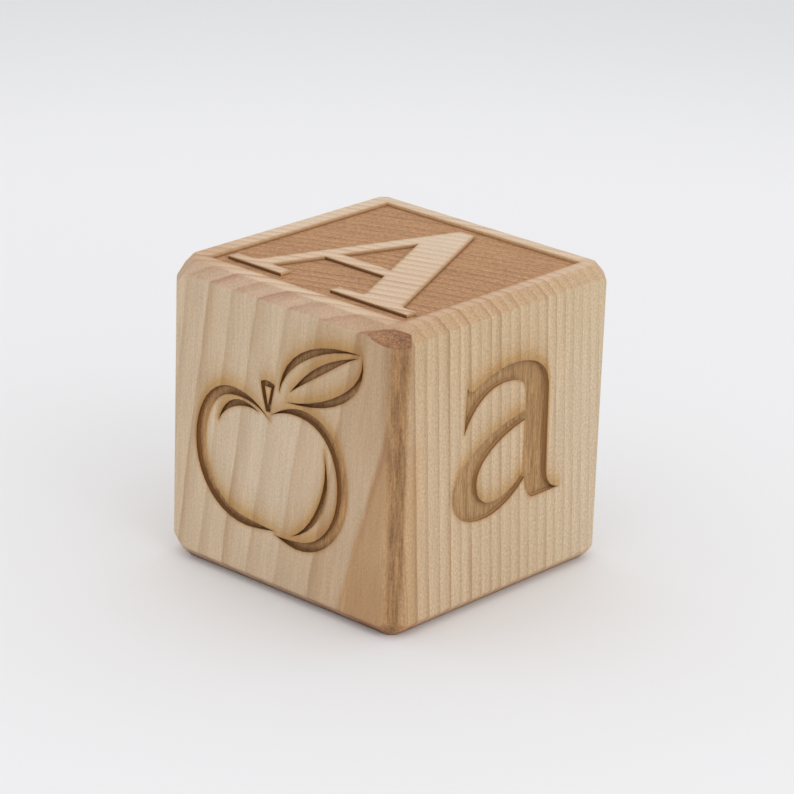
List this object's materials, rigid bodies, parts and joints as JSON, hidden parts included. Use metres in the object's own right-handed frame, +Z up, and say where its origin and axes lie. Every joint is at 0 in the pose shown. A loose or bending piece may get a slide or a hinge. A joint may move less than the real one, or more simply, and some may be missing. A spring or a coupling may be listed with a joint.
{
  "type": "alphabet block",
  "caption": "Chamfered wooden toy cube with a capital letter in relief, a small letter and a line-drawn apple burnt into opposite pairs of faces, for handling and stacking.",
  "frame": {"origin": "centre of the base face, on the surface that the block stands on", "axes": "+Z up to the top face with the capital letter, whose head points to +Y; +X out of the face with the small letter; -Y out of the face with the apple"},
  "size_m": [0.05, 0.05, 0.05],
  "materials": {
    "block_wood": "sanded bare softwood, upright grain",
    "panel_scorch": "lightly burnt end grain, matte",
    "apple_scorch": "deeply burnt strokes, matte",
    "small_letter_scorch": "burnt side grain, matte"
  },
  "bodies": {
    "root": {"wood_block": "block_wood", "capital_scorch_top": "panel_scorch", "capital_scorch_base": "panel_scorch", "apple_scorch_front": "apple_scorch", "apple_scorch_rear": "apple_scorch", "small_letter_scorch_right": "small_letter_scorch", "small_letter_scorch_left": "small_letter_scorch"}
  },
  "joints": []
}
